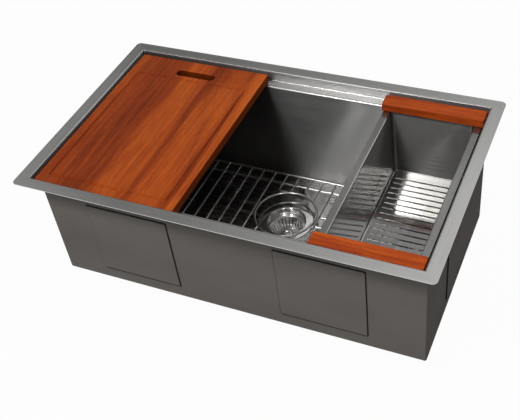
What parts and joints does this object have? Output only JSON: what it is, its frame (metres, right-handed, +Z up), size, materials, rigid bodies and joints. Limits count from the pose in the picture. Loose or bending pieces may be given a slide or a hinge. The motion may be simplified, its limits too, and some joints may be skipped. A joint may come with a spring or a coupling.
{
  "type": "workstation kitchen sink",
  "caption": "Undermount steel kitchen sink with ledges that carry a sliding board and a colander, over a wire grid and a basket strainer drain.",
  "frame": {"origin": "centre of the rim's top plane, where it meets the worktop", "axes": "+X right along the long side, +Y to the back, +Z up"},
  "size_m": [0.838, 0.502, 0.3519],
  "materials": {
    "brushed_steel": "satin, brushed along the sheet",
    "undercoat": "sprayed grey sound coating over rubber pads",
    "hardwood": "oiled red-brown hardwood, satin",
    "rubber": "matt black",
    "wire_steel": "polished wire",
    "drain_steel": "polished pressed steel",
    "polished_steel": "polished",
    "nut_metal": "plated die casting",
    "fibre": "pressed fibre"
  },
  "bodies": {
    "sink": {"bowl": "brushed_steel", "pad_front_left": "undercoat", "pad_front_right": "undercoat", "pad_back_left": "undercoat", "pad_back_right": "undercoat", "pad_end_left": "undercoat", "pad_end_right": "undercoat", "pad_floor_left": "undercoat", "pad_floor_right": "undercoat", "drain_body": "drain_steel", "drain_gasket": "rubber", "drain_washer": "fibre", "drain_locknut": "nut_metal"},
    "board": {"cutting_board": "hardwood"},
    "colander": {"colander_basket": "brushed_steel", "colander_handle_front": "hardwood", "colander_handle_back": "hardwood", "handle_screw_front_left": "polished_steel", "handle_screw_front_right": "polished_steel", "handle_screw_back_left": "polished_steel", "handle_screw_back_right": "polished_steel"},
    "grid": {"grid_frame": "wire_steel", "grid_wires_left": "wire_steel", "grid_wires_right": "wire_steel", "grid_wires_front": "wire_steel", "grid_wires_back": "wire_steel", "grid_cross_front": "wire_steel", "grid_cross_back": "wire_steel", "grid_stubs_left": "wire_steel", "grid_stubs_right": "wire_steel", "grid_ring": "wire_steel", "grid_foot_front_left": "rubber", "grid_foot_front_middle": "rubber", "grid_foot_front_right": "rubber", "grid_foot_back_left": "rubber", "grid_foot_back_middle": "rubber", "grid_foot_back_right": "rubber"},
    "strainer": {"strainer_basket": "drain_steel"},
    "stopper": {"strainer_post": "polished_steel", "strainer_knob": "polished_steel", "strainer_stopper": "rubber"}
  },
  "joints": [
    {"name": "board_slide", "type": "slide", "parent": "sink", "child": "board", "axis": [1, 0, 0], "range_m": [-0.005, 0.262]},
    {"name": "colander_lift", "type": "slide", "parent": "sink", "child": "colander", "axis": [0, 0, 1], "range_m": [0, 0.22]},
    {"name": "grid_lift", "type": "slide", "parent": "sink", "child": "grid", "axis": [0, 0, 1], "range_m": [0, 0.07]},
    {"name": "strainer_lift", "type": "slide", "parent": "sink", "child": "strainer", "axis": [0, 0, 1], "range_m": [0, 0.25]},
    {"name": "stopper_pull", "type": "slide", "parent": "strainer", "child": "stopper", "axis": [0, 0, 1], "range_m": [0, 0.009]}
  ]
}
